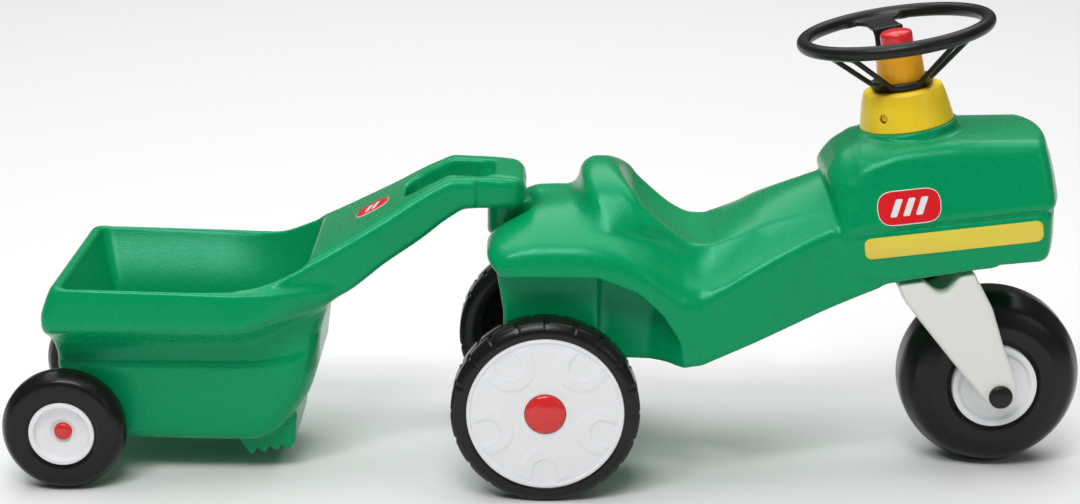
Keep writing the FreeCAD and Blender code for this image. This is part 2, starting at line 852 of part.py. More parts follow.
def horn_button():
    """Red domed button with a skirt that slides in the column."""
    radius = size("button_radius")
    top = size("button_top")
    skirt = size("button_skirt")
    return steering_piece("horn_button", [
        (7.9, skirt - 17), (9.0, skirt - 17), (9.0, skirt), (radius, skirt), (radius, top - 3, 6),
        (radius * 0.5, top, 8), (0, top), (0, skirt + 4), (7.9, skirt + 4),
    ])


def horn_bellows():
    """Pleated bellows between the shaft's end and the inside of the button."""
    wall, outer, inner, pleats = 1.0, 7.2, 5.6, 4
    low = size("shaft_top") + 0.1
    high = size("button_skirt") + 4 - 0.1
    pitch = (high - low) / pleats
    skin = [(inner, low)]
    for pleat in range(pleats):
        skin += [(outer, low + (pleat + 0.5) * pitch), (inner, low + (pleat + 1) * pitch)]
    return steering_piece("horn_bellows", skin + [(r - wall, z) for r, z in reversed(skin)])


def steering_shaft():
    body = new_body("steering_shaft")
    sketch = circle_sketch(body, "XY_Plane", (0, 0), "sizes.shaft_radius", size("shaft_end"))
    pad(body, sketch, "sizes.shaft_top - sizes.shaft_end", symmetric=False)
    body.Placement = steering_frame()
    return body


def steering_bush():
    """Flanged bush in the hood's lower boss."""
    end = size("boss_end")
    radius = size("bush_radius")
    bore = size("shaft_radius") + RUNNING_GAP
    return steering_piece("steering_bush", [
        (bore, end - 2.5), (14, end - 2.5), (14, end), (radius, end), (radius, end + 40), (bore, end + 40),
    ])


FAR_SPOKE_ANGLE = 96.0  # round the steering axis, from the front
NEAR_SPOKE_ANGLES = (237.0, 308.0)


def far_spoke(low, inner):
    """Wide plate that runs flat inwards from the rim, then bends down beside the barrel."""
    half = size("spoke_width") / 2
    bend, rim = inner + 10, size("rim_radius")
    drop = new_body("far_spoke_drop")
    pad(drop, sketch_on(drop, "XZ_Plane", [
        (inner, low + 1), (inner + 4, low + 1), (bend, -3, 2), (bend, 1, 3), (bend - 5, 1, 2),
        (inner, low + 12, 8),
    ]), "sizes.spoke_width")
    flat = new_body("far_spoke_flat")
    pad(flat, sketch_on(flat, "XY_Plane", [
        (bend - 4, -half), (rim - 16, -half, 22), (rim - 12, -half - 28), (rim, -half - 4),
        (rim, half + 4), (rim - 12, half + 28), (rim - 16, half, 22), (bend - 4, half),
    ], -3.0), "4", symmetric=False)
    return [drop, flat]


def near_spoke(index, low, inner):
    """Sloping plate from the base ring up to the rim, with a long window down its middle."""
    rim = size("rim_radius")
    plate = new_body(f"near_spoke_{index}")
    pad(plate, sketch_on(plate, "XZ_Plane", [
        (inner + 1, low + 1), (inner + 7, low + 1, 4), (rim - 1, -4, 10), (rim, 3, 1),
        (rim - 5, 3, 12), (inner + 5, low + 7, 12), (inner + 1, low + 7),
    ]), "sizes.spoke_width - 2")
    window = new_body(f"near_window_{index}")
    pad(window, sketch_on(window, "XZ_Plane", [
        (inner + 13, low), (rim - 12, low), (rim - 12, 10), (inner + 13, 10),
    ]), "sizes.spoke_width / 2")
    return less(f"near_spoke_frame_{index}", plate, window)


def steering_wheel():
    """Rim, base ring round the column, one bent spoke and two with windows."""
    rim = document.addObject("Part::Torus", "wheel_rim")
    rim.setExpression("Radius1", "sizes.rim_radius")
    rim.setExpression("Radius2", "sizes.rim_tube")
    low = size("collar_top") + 0.6
    inner = size("column_radius") + 0.1
    ring = new_body("wheel_base")
    revolve(ring, [(inner, low), (inner + 6, low, 1), (inner + 5, low + 8, 2), (inner, low + 8)])
    spokes = [(FAR_SPOKE_ANGLE, piece) for piece in far_spoke(low, inner)]
    for index, angle in enumerate(NEAR_SPOKE_ANGLES):
        spokes.append((angle, near_spoke(index, low, inner)))
    for angle, piece in spokes:
        turn = FreeCAD.Rotation(vector(0, 0, 1), angle)
        piece.Placement = FreeCAD.Placement(vector(0, 0, 0), turn)
    wheel = joined("steering_wheel", [rim, ring] + [piece for _, piece in spokes])
    wheel.Placement = steering_frame()
    return wheel


# ---------------------------------------------------------------- stickers


def sticker(label, length, height, corner, centre, slope, side):
    """A thin rounded label on an upright side, tilted with the hood's lip."""
    body = new_body(label)
    sketch = sketch_on(body, "XZ_Plane", [
        (-length / 2, -height / 2, corner), (length / 2, -height / 2, corner),
        (length / 2, height / 2, corner), (-length / 2, height / 2, corner),
    ])
    pad(body, sketch, "sizes.sticker_thickness")
    x, y, z = centre
    y_middle = side * (y + size("sticker_thickness") / 2)
    body.Placement = FreeCAD.Placement(
        vector(x, y_middle, z), FreeCAD.Rotation(vector(0, 1, 0), -slope)
    )
    return body


def hood_badge(label, side):
    return sticker(label, 62, 34, 16, (345, size("hood_half_width"), 288), 7, side)


def hood_stripe(label, side):
    return sticker(label, 173, 20, 4, (390, size("grille_half_width"), 254), 6.9, side)


def cart_badge():
    """Label on the slope of the tongue."""
    body = new_body("cart_badge")
    sketch = sketch_on(body, "XY_Plane", [(-17, -14, 5), (17, -14, 5), (17, 14, 5), (-17, 14, 5)])
    pad(body, sketch, "sizes.sticker_thickness", symmetric=False)
    slope = math.degrees(math.atan2(275 - 246, 53))
    body.Placement = FreeCAD.Placement(
        vector(-180, 0, 246 + (203 - 180) * 29 / 53), FreeCAD.Rotation(vector(0, 1, 0), -slope)
    )
    return body


# ---------------------------------------------------------------- assembly and export

nodes = [tractor_body(), cart_body(), fork(), front_tyre(), front_hub()]
nodes += both_sides("rear_tyre", rear_tyre) + both_sides("rear_disc", rear_disc)
nodes += both_sides("cart_tyre", cart_tyre) + both_sides("cart_hub", cart_hub)
nodes += [
    axle("rear_axle", size("rear_axle_x"), size("rear_tyre_radius"), "rear_axle_radius", 139.4),
    axle("front_axle", size("front_axle_x"), size("front_tyre_radius"), "front_axle_radius", 77.9),
    axle("cart_axle", size("cart_axle_x"), size("cart_tyre_radius"), "cart_axle_radius", 113.9),
    paired_caps("rear_axle_caps", size("rear_axle_x"), size("rear_tyre_radius"),
                size("rear_cap_radius"), 132.0, size("rear_cap_face"), size("rear_axle_radius")),
    paired_caps("front_axle_caps", size("front_axle_x"), size("front_tyre_radius"),
                size("front_cap_radius"), size("fork_outer"), size("front_cap_face"),
                size("front_axle_radius")),
    paired_caps("cart_axle_caps", size("cart_axle_x"), size("cart_tyre_radius"),
                size("cart_cap_radius"), 111.0, size("cart_cap_face"), size("cart_axle_radius")),
    dash_collar(), collar_screws(), steering_column(), horn_button(), horn_bellows(),
    steering_shaft(), steering_bush(), steering_wheel(), cart_badge(),
]
nodes += both_sides("hood_badge", hood_badge) + both_sides("hood_stripe", hood_stripe)
document.recompute()

for item in document.Objects:
    if any(word in ("Invalid", "Error") for word in item.State):
        raise RuntimeError(f"{item.Name} failed: {item.State}")

os.makedirs("parts", exist_ok=True)
for node in nodes:
    shape = node.Shape
    if shape.isNull() or not shape.isValid():
        raise RuntimeError(f"{node.Label} has no valid shape")
    shape.exportStep(f"parts/{node.Label}.step")
    print(f"{node.Label}: {len(shape.Solids)} solid(s), {shape.Volume / 1000:.1f} cm3")
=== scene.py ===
import json
import math

import bpy
import numpy as np
from mathutils import Matrix, Vector


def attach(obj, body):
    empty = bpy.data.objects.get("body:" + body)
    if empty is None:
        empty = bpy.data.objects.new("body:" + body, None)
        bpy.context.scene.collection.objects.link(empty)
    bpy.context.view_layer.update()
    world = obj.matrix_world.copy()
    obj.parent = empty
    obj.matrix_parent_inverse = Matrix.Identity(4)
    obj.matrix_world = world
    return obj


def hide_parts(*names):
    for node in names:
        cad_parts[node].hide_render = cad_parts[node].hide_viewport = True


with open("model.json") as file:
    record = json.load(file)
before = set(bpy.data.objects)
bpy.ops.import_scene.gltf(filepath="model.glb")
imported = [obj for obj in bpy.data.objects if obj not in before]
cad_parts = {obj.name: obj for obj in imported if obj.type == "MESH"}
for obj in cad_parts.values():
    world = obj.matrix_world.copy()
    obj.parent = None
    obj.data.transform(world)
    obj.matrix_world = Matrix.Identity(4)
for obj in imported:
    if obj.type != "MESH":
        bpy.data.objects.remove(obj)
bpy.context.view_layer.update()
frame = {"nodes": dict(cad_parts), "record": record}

MM = 0.001
SHARP_ANGLE = 40  # degrees; meeting faces of turned pieces and labels stay sharp above it
LEAN = math.radians(9.86)  # the steering axis leans back
RIM = (335.0, 0.0, 444.0)  # the steering rim's centre
HITCH_X = -42.0
NECK_RADIUS, PIN_RADIUS, SOCKET_RADIUS = 22.5, 15, 15.4  # of the hitch
REAR_AXLE = (-5.0, 92.0)
FRONT_AXLE = (447.0, 91.2)
CART_AXLE = (-477.5, 60.7)
CART_BORE = 6

# ------------------------------------------------------------------ distance fields, in mm


def smax(a, b, k):
    """Larger of two fields, with a soft transition about k wide."""
    h = np.clip(0.5 + 0.5 * (a - b) / k, 0.0, 1.0)
    return b + (a - b) * h + k * h * (1.0 - h)


def smin(a, b, k):
    """Smaller of two fields, with a soft transition about k wide."""
    return -smax(-a, -b, k)


def rmax(a, b, r):
    """Intersection of two solids with their common edge rounded to radius r."""
    return np.minimum(-r, np.maximum(a, b)) + np.hypot(np.maximum(a + r, 0), np.maximum(b + r, 0))


def profile(x, stations):
    """Smooth curve through (x, value) stations, level beyond both ends."""
    xs = np.array([s[0] for s in stations], float)
    ys = np.array([s[1] for s in stations], float)
    slope = np.diff(ys) / np.diff(xs)
    tangent = np.zeros(len(xs))
    same = slope[1:] * slope[:-1] > 0
    tangent[1:-1][same] = 2 * slope[1:][same] * slope[:-1][same] / (slope[1:] + slope[:-1])[same]
    tangent[0], tangent[-1] = slope[0], slope[-1]
    i = np.clip(np.searchsorted(xs, x) - 1, 0, len(xs) - 2)
    width = xs[i + 1] - xs[i]
    t = np.clip((x - xs[i]) / width, 0.0, 1.0)
    a, b = ys[i], ys[i + 1]
    ma, mb = tangent[i] * width, tangent[i + 1] * width
    return (
        (2 * t**3 - 3 * t**2 + 1) * a + (t**3 - 2 * t**2 + t) * ma
        + (3 * t**2 - 2 * t**3) * b + (t**3 - t**2) * mb
    )


def softened(corners, steps=6):
    """Polygon of a closed outline whose corners are (x, z) or (x, z, radius)."""
    points = [np.array(c[:2], float) for c in corners]
    radii = [c[2] if len(c) > 2 else 0.0 for c in corners]
    result = []
    for i, here in enumerate(points):
        back = points[i - 1] - here
        on = points[(i + 1) % len(points)] - here
        reach_limit = 0.49 * min(np.linalg.norm(back), np.linalg.norm(on))
        back, on = back / np.linalg.norm(back), on / np.linalg.norm(on)
        half = math.acos(float(np.clip(back @ on, -1, 1))) / 2
        if radii[i] <= 0 or half > 1.55:
            result.append(here)
            continue
        reach = min(radii[i] / math.tan(half), reach_limit)
        for step in range(steps + 1):
            t = step / steps
            start, end = here + back * reach, here + on * reach
            result.append((1 - t) ** 2 * start + 2 * t * (1 - t) * here + t * t * end)
    return np.array(result)


def outline(x, z, corners):
    """Signed distance to a closed outline in the side plane, negative inside."""
    points = softened(corners)
    px, pz = np.broadcast_arrays(x, z)
    nearest = np.full(px.shape, 1e9)
    inside = np.zeros(px.shape, bool)
    for (ax, az), (bx, bz) in zip(points, np.roll(points, -1, axis=0)):
        dx, dz = bx - ax, bz - az
        if dx * dx + dz * dz < 1e-12:
            continue
        t = np.clip(((px - ax) * dx + (pz - az) * dz) / (dx * dx + dz * dz), 0, 1)
        nearest = np.minimum(nearest, (px - ax - t * dx) ** 2 + (pz - az - t * dz) ** 2)
        if az != bz:
            inside ^= ((az > pz) != (bz > pz)) & (px < dx * (pz - az) / dz + ax)
    return np.where(inside, -1.0, 1.0) * np.sqrt(nearest)


def plate(x, y, x0, x1, width, r):
    """Distance to a rectangle with rounded corners in plan, symmetric about y = 0."""
    dx = np.abs(x - (x0 + x1) / 2) - (x1 - x0) / 2 + r
    dy = np.abs(y) - width + r
    return np.hypot(np.maximum(dx, 0), np.maximum(dy, 0)) + np.minimum(np.maximum(dx, dy), 0) - r


def about_steering(x, y, z):
    """Distance from the leaning steering axis, and height along it from the rim's centre."""
    dx, dz = x - RIM[0], z - RIM[2]
    height = -math.sin(LEAN) * dx + math.cos(LEAN) * dz
    sideways = math.cos(LEAN) * dx + math.sin(LEAN) * dz
    return np.hypot(sideways, y), height


CORNERS = [(i, j, k) for i in (0, 1) for j in (0, 1) for k in (0, 1)]


def sample(field, origin, step, points):
    """Field values between the samples."""
    p = (points - origin) / step
    cell = np.clip(np.floor(p).astype(int), 0, np.array(field.shape) - 2)
    t = p - cell
    total = np.zeros(len(points))
    for c in CORNERS:
        weight = np.prod(np.where(np.array(c) == 1, t, 1 - t), axis=1)
        total += weight * field[tuple((cell + c).T)]
    return total


def settle(field, origin, step, points):
    """Moves points onto the zero level of the field."""
    value = sample(field, origin, step, points)
    slope = np.zeros_like(points)
    for axis in range(3):
        shift = np.zeros(3)
        shift[axis] = step * 0.5
        ahead = sample(field, origin, step, points + shift)
        behind = sample(field, origin, step, points - shift)
        slope[:, axis] = (ahead - behind) / step
    size = np.maximum((slope**2).sum(axis=1), 0.05)
    move = -slope * (value / size)[:, None]
    length = np.linalg.norm(move, axis=1, keepdims=True)
    return points + move * np.minimum(1.0, 0.5 * step / np.maximum(length, 1e-9))


def skin(field, origin, step, rounds):
    """Vertices and quads of the zero level of a sampled field, after some rounds of smoothing."""
    shape = field.shape
    inside = field < 0
    first = inside[:-1, :-1, :-1]
    mixed = np.zeros(first.shape, bool)
    for i, j, k in CORNERS[1:]:
        mixed |= inside[i:shape[0] - 1 + i, j:shape[1] - 1 + j, k:shape[2] - 1 + k] != first
    cells = np.argwhere(mixed)
    values = {c: field[tuple((cells + c).T)] for c in CORNERS}
    total, count = np.zeros(cells.shape), np.zeros(len(cells))
    for a in CORNERS:
        for axis in range(3):
            if a[axis]:
                continue
            b = tuple(1 if n == axis else a[n] for n in range(3))
            hit = (values[a] < 0) != (values[b] < 0)
            point = np.tile(np.array(a, float), (hit.sum(), 1))
            point[:, axis] += values[a][hit] / (values[a][hit] - values[b][hit])
            total[hit] += point
            count[hit] += 1
    points = (cells + total / count[:, None]) * step + origin
    index = np.full(mixed.shape, -1)
    index[mixed] = np.arange(len(cells))
    quads = []
    for axis in range(3):
        u, v = (axis + 1) % 3, (axis + 2) % 3
        low = np.take(inside, range(shape[axis] - 1), axis=axis)
        high = np.take(inside, range(1, shape[axis]), axis=axis)
        edges = np.argwhere(low != high)
        keep = (edges[:, u] > 0) & (edges[:, v] > 0)
        keep &= (edges[:, u] < shape[u] - 1) & (edges[:, v] < shape[v] - 1)
        edges = edges[keep]
        ring = []
        for du, dv in ((0, 0), (1, 0), (1, 1), (0, 1)):
            cell = edges.copy()
            cell[:, u] -= du
            cell[:, v] -= dv
            ring.append(index[tuple(cell.T)])
        ring = np.stack(ring, axis=1)
        outward = low[tuple(edges.T)]
        ring[~outward] = ring[~outward][:, ::-1]
        quads.append(ring)
    quads = np.concatenate(quads)
    for _ in range(rounds):
        total, count = np.zeros(points.shape), np.zeros(len(points))
        for n in range(4):
            a, b = quads[:, n], quads[:, (n + 1) % 4]
            for axis in range(3):
                total[:, axis] += np.bincount(a, points[b, axis], len(points))
            count += np.bincount(a, minlength=len(points))
        points = 0.4 * points + 0.6 * total / count[:, None]
        points = settle(field, origin, step, points)
    return points, quads


def sculpt(name, make, low, high, step, material, rounds=2, place=None):
    """Object whose surface is the zero level of make(x, y, z) between two corners, in mm."""
    axes = [np.arange(a - 2 * step, b + 3 * step, step) for a, b in zip(low, high)]
    x, y, z = np.meshgrid(*axes, indexing="ij", sparse=True)
    field = np.broadcast_to(make(x, y, z), [len(a) for a in axes]).copy()
    gradient = np.gradient(field, step)
    field /= np.clip(np.sqrt(sum(g * g for g in gradient)), 0.35, 3.0)
    origin = np.array([a[0] for a in axes])
    points, quads = skin(field, origin, step, rounds)
    if place is not None:
        points = placed(points, place)
    return mesh_object(name, points, quads.tolist(), material)


# ------------------------------------------------------------------ meshes


def mesh_object(name, points, faces, material, sharp=None):
    """Shaded mesh from points in mm, in the CAD's frame."""
    mesh = bpy.data.meshes.new(name)
    mesh.from_pydata((np.asarray(points, float) * MM).tolist(), [], faces)
    mesh.polygons.foreach_set("use_smooth", [True] * len(mesh.polygons))
    if sharp is not None:
        mesh.set_sharp_from_angle(angle=math.radians(sharp))
    mesh.materials.append(material)
    mesh.validate()
    mesh.update()
    thing = bpy.data.objects.new(name, mesh)
    bpy.context.scene.collection.objects.link(thing)
    return thing


def placed(points, place):
    """Points moved by a 4x4 matrix in mm."""
    matrix = np.array(place)
    return np.asarray(points, float) @ matrix[:3, :3].T + matrix[:3, 3]


def lathe(name, corners, place, material, segments):
    """Turned piece: a closed outline of (radius, height[, rounding]) about its own Z axis."""
    half = softened(corners, 5)
    on_axis = half[:, 0] < 1e-6
    angles = np.arange(segments) * 2 * math.pi / segments
    points, rows = [], []
    for (radius, height), single in zip(half, on_axis):
        start = len(points)
        if single:
            points.append((0.0, 0.0, height))
            rows.append([start] * segments)
        else:
            points += [(radius * math.cos(a), radius * math.sin(a), height) for a in angles]
            rows.append(list(range(start, start + segments)))
    area = sum(
        half[i - 1][0] * half[i][1] - half[i - 1][1] * half[i][0] for i in range(len(half))
    )
    faces = []
    for lower, upper in zip(rows, rows[1:] + rows[:1]):
        if lower[0] == lower[1] and upper[0] == upper[1]:
            continue
        for i in range(segments):
            j = (i + 1) % segments
            ring = [lower[i], lower[j], upper[j], upper[i]]
            face = [v for n, v in enumerate(ring) if v != ring[n - 1]]
            faces.append(face if area > 0 else face[::-1])
    return mesh_object(name, placed(points, place), faces, material, SHARP_ANGLE)


def plaque(name, origin, along, outward, corners, low, high, material):
    """Thin label on a surface: an outline in its own plane, from low to high along outward."""
    bevel = 0.2
    u, n = Vector(along).normalized(), Vector(outward).normalized()
    v = n.cross(u).normalized()
    flat = softened(corners)
    middle = flat.mean(axis=0)
    reach = np.abs(flat - middle).max(axis=0)
    small = middle + (flat - middle) * (1 - bevel / reach)
    points = []
    for ring, height in ((flat, low), (flat, high - bevel), (small, high)):
        points += [Vector(origin) + u * a + v * b + n * height for a, b in ring]
    count = len(flat)
    faces = [list(range(count))[::-1], list(range(2 * count, 3 * count))]
    for level in (0, count):
        for i in range(count):
            j = (i + 1) % count
            faces.append([level + i, level + j, level + count + j, level + count + i])
    return mesh_object(name, [list(p) for p in points], faces, material, SHARP_ANGLE)


def turned(axle, side):
    """Placement of a wheel's own Z axis outwards along its axle: side 1 is left, -1 is right."""
    x, z = axle
    return Matrix.Translation((x, 0, z)) @ Matrix.Rotation(math.radians(-90 * side), 4, "X")


STEERING = Matrix.Translation(RIM) @ Matrix.Rotation(-LEAN, 4, "Y")  # Z up the leaning axis


def stand_in(piece, body, *nodes):
    """Makes a piece move with a body, and stand for the CAD nodes named, if any."""
    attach(piece, body)
    if nodes:
        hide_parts(*nodes)


# ------------------------------------------------------------------ materials


def new_material(name, colour):
    """Material with a shader of one colour; gives it, its shader and its node tree."""
    material = bpy.data.materials.new(name)
    material.use_nodes = True
    tree = material.node_tree
    shader = tree.nodes["Principled BSDF"]
    shader.inputs["Base Color"].default_value = (*colour, 1)
    return material, shader, tree


def noise_node(tree, place, scale, detail):
    """Noise in the piece's own coordinates, finer for a larger scale."""
    noise = tree.nodes.new("ShaderNodeTexNoise")
    noise.inputs["Scale"].default_value = scale
    noise.inputs["Detail"].default_value = detail
    tree.links.new(place.outputs["Object"], noise.inputs["Vector"])
    return noise


def vary_roughness(tree, shader, noise, low, high, middle, swing):
    """Spreads the noise between low and high over the roughness on both sides of the middle."""
    spread = tree.nodes.new("ShaderNodeMapRange")
    spread.inputs["From Min"].default_value = low
    spread.inputs["From Max"].default_value = high
    spread.inputs["To Min"].default_value = middle - swing
    spread.inputs["To Max"].default_value = middle + swing
    tree.links.new(noise.outputs["Fac"], spread.inputs["Value"])
    tree.links.new(spread.outputs["Result"], shader.inputs["Roughness"])


def plastic(
    name, colour, roughness, pebble, pebble_scale=900.0, mottle=0.0, sparkle=0.0, specular=0.3,
    sheen=(1.0, 1.0, 1.0),
):
    """Moulded plastic: even colour with fine mottling, a pebbled skin and a soft gloss."""
    material, shader, tree = new_material(name, colour)
    shader.inputs["Roughness"].default_value = roughness
    shader.inputs["Specular IOR Level"].default_value = specular
    shader.inputs["Specular Tint"].default_value = (*sheen, 1)
    place = tree.nodes.new("ShaderNodeTexCoord")
    link = tree.links.new
    if mottle:
        noise = noise_node(tree, place, pebble_scale * 0.45, 3.0)
        ramp = tree.nodes.new("ShaderNodeValToRGB")
        ramp.color_ramp.elements[0].position = 0.3
        ramp.color_ramp.elements[1].position = 0.72
        ramp.color_ramp.elements[0].color = (*[c * (1 - mottle) for c in colour], 1)
        bright = [min(1.0, c * (1 + mottle) + 0.02 * mottle) for c in colour]
        ramp.color_ramp.elements[1].color = (*bright, 1)
        link(noise.outputs["Fac"], ramp.inputs["Fac"])
        link(ramp.outputs["Color"], shader.inputs["Base Color"])
    grain = noise_node(tree, place, pebble_scale, 2.0)
    bump = tree.nodes.new("ShaderNodeBump")
    bump.inputs["Strength"].default_value = pebble
    bump.inputs["Distance"].default_value = MM
    link(grain.outputs["Fac"], bump.inputs["Height"])
    link(bump.outputs["Normal"], shader.inputs["Normal"])
    if sparkle:
        vary_roughness(tree, shader, grain, 0.35, 0.65, roughness, sparkle)
    return material


def metal(name, colour, roughness):
    """Plated metal with cloudy roughness."""
    material, shader, tree = new_material(name, colour)
    shader.inputs["Metallic"].default_value = 1.0
    noise = noise_node(tree, tree.nodes.new("ShaderNodeTexCoord"), 400.0, 2.0)
    vary_roughness(tree, shader, noise, 0.0, 1.0, roughness, 0.08)
    return material


GREEN = plastic(
    "green_plastic", (0.0, 0.295, 0.100), 0.25, pebble=0.16, pebble_scale=720.0, mottle=0.06,
    sparkle=0.05, specular=0.42, sheen=(0.35, 1.0, 0.8),
)
YELLOW = plastic("yellow_plastic", (1.0, 0.69, 0.028), 0.24, pebble=0.05, mottle=0.03)
AMBER = plastic("amber_plastic", (0.74, 0.34, 0.010), 0.28, pebble=0.05, mottle=0.03)
RED = plastic("red_plastic", (0.68, 0.024, 0.025), 0.14, pebble=0.02, mottle=0.02, specular=0.5)
BLACK = plastic("black_plastic", (0.009, 0.0085, 0.0085), 0.33, pebble=0.10, mottle=0.05)
TYRE = plastic(
    "tyre_black", (0.008, 0.0075, 0.0075), 0.26, pebble=0.06, mottle=0.06, specular=0.26
)
WHITE = plastic("white_plastic", (0.83, 0.84, 0.86), 0.28, pebble=0.03, mottle=0.015)
BONE = plastic("fork_plastic", (0.80, 0.80, 0.75), 0.3, pebble=0.05, mottle=0.015)
LABEL_RED = plastic("label_red", (0.72, 0.014, 0.02), 0.25, pebble=0.01)
LABEL_WHITE = plastic("label_white", (0.83, 0.83, 0.83), 0.25, pebble=0.01)
STRIPE = plastic("stripe_label", (0.78, 0.62, 0.075), 0.3, pebble=0.01)
STEEL = metal("steel", (0.6, 0.6, 0.62), 0.3)
ZINC = metal("yellow_zinc", (0.72, 0.47, 0.07), 0.4)

BY_SLOT = {
    "green_plastic": GREEN, "yellow_plastic": YELLOW, "amber_plastic": AMBER, "red_plastic": RED,
    "black_plastic": BLACK, "tyre_black": TYRE, "white_plastic": WHITE, "badge_label": LABEL_RED,
    "stripe_label": STRIPE, "steel": STEEL,
}


def repaint(name, material):
    """Gives a CAD node another material."""
    cad = frame["nodes"][name]
    cad.data.materials.clear()
    cad.data.materials.append(material)


for part in frame["record"]["subparts"]:
    repaint(part["node"], BY_SLOT[part["material_slot"]])
repaint("collar_screws", ZINC)

# ------------------------------------------------------------------ tractor body

FRAME_SIDE = [
    (-44, 66, 8), (46, 66, 8), (52, 128, 10), (132, 128, 6), (132, 158), (113, 188), (88, 210),
    (52, 226), (-57, 240), (-47, 179),
]
FRAME_WIDTH = [
    (38, 86), (44, 85.5), (48, 78), (56, 75), (95, 77), (112, 86), (126, 101), (132, 104),
]
SHELL_SIDE = [
    (-48, 219, 9), (-69, 238, 14), (-64, 330), (400, 330), (400, 219), (339, 209, 3),
    (148, 129, 16), (132, 128, 8), (46, 128), (46, 219),
]
WHEEL_ARCH = [
    (-120, 40), (-120, 219), (48, 219, 20), (84, 205, 30), (108, 182, 30), (126, 153, 30),
    (130, 128, 10), (130, 40),
]
GRILLE_SIDE = [
    (270, 262), (298, 211, 9), (336, 208, 3), (434, 224.5, 1), (437, 227, 2), (476, 231, 12),
    (560, 240), (560, 292), (284, 258),
]
HOOD_SIDE = [
    (283, 256, 4), (267, 306, 16), (287, 340, 36), (330, 351, 60), (400, 355, 80), (560, 358),
    (560, 291), (476, 281),
]
WIDTH = [
    (60, 113), (84, 112), (106, 109), (125, 106), (150, 101), (195, 95), (240, 85), (260, 80),
    (278, 77), (300, 75), (400, 72),
]
SHOULDER = [
    (-60, 242), (-11, 245), (27, 245), (65, 240), (95, 227), (115, 212), (130, 203), (142, 201),
    (163, 208), (191, 224), (238, 247), (278, 262), (320, 270),
]
SADDLE = [
    (-69, 240), (-58, 251), (-44, 262), (-28, 270), (-12, 276), (8, 277), (50, 276), (80, 268),
    (105, 257), (125, 247), (142, 242), (155, 242), (165, 245), (188, 254), (207, 263), (228, 269),
    (248, 274), (266, 278), (320, 290),
]
CROWN = [
    (60, 0), (80, -12), (105, -9), (140, -4), (165, 3), (188, 9), (207, 12), (228, 16), (248, 19),
    (266, 22), (320, 24),
]
HOOD_EDGE = [
    (270, 312), (290, 321), (300, 329), (317, 334), (336, 338), (355, 341), (373, 343), (392, 345),
    (430, 346), (470, 347),
]
HOOD_FRONT = [(279, 502.5), (305, 497), (330, 490), (346, 484), (362, 477)]
GRILLE_FRONT = [(210, 492), (233, 497), (254, 498.5), (275, 498)]
BACK_REAR = [(230, 26), (262, 25), (285, 26), (300, 28), (316, 34)]
BACK_FRONT = [
    (238, 128), (246, 113), (256, 100), (268, 89), (282, 79), (294, 73), (305, 68), (325, 60),
]


def shell_top(x, y):
    """Height of the body's upper skin: deck, saddle and the slopes down to the shoulders."""
    ay = np.abs(y)
    width, shoulder = profile(x, WIDTH), profile(x, SHOULDER)
    saddle = profile(x, SADDLE)
    rim = profile(x, [(20, 22), (70, 62), (150, 60), (200, 58), (300, 56)])
    inner = saddle + profile(x, CROWN) * (1 - (np.minimum(ay, rim) / rim) ** 2)
    u = np.clip((ay - rim) / (width - rim), 0, 1.2)
    power = profile(x, [(20, 0.0), (90, 1.0), (150, 1.0), (260, 0.85), (300, 0.5)])
    hollow = np.clip(1 - u, 0, 1) ** 1.45
    domed = 1 - u**1.9
    fall = power * hollow + (1 - power) * domed
    dip = 17 * np.exp(-((np.clip(np.hypot(x - HITCH_X, y) - 18, 0, 80) / 17) ** 2))
    return shoulder + (inner - shoulder) * fall - dip


def saddle_back(x, y, z):
    """Upright back of the saddle: arched top, bowed rear, hollow front."""
    spread = (y / 62) ** 2
    rear = profile(z, BACK_REAR) + 11 * spread - x
    front = x - profile(z, BACK_FRONT) - 10 * spread
    top = z - 312.5 + 17 * spread
    field = rmax(rear, front * 0.82, 13)
    field = rmax(field, top, 12)
    side = np.abs(y) - profile(z, [(236, 58), (250, 66), (264, 74), (284, 68), (312, 62)])
    field = rmax(field, side * 0.9, 14)
    return rmax(field, 222 - z, 6)


def hood_field(x, y, z):
    """Hood with a bowed nose and a lip over the narrower band that carries the stripe."""
    bow = 13 * (y / 72) ** 2
    lip = 255 + (x - 284) * 0.125
    edge = profile(x, HOOD_EDGE)
    width = 82 - 15.5 * np.clip((z - lip) / (edge - lip), -0.2, 1.3)
    sides = (np.abs(y) - width) * 0.97
    corner = profile(z, [(256, 6), (275, 14), (298, 30), (340, 36)])
    soft = profile(x, [(300, 1), (350, 0)])
    hood = rmax(outline(x, z, HOOD_SIDE), sides, 11 + (corner - 11) * soft)
    crown = profile(x, [(280, 22), (300, 18), (330, 11), (350, 8)])
    roof = z - edge - crown * (1 - (y / 66) ** 2)
    hood = rmax(hood, roof, 11)
    hood = rmax(hood, (x - profile(z, HOOD_FRONT) + bow) * 0.97, 8)
    grille = rmax(outline(x, z, GRILLE_SIDE), np.abs(y) - 79 + np.clip(250 - z, 0, 60) * 0.05, 7)
    grille = rmax(grille, x - profile(z, GRILLE_FRONT) + bow, 8)
    return smin(hood, grille, 2.0)


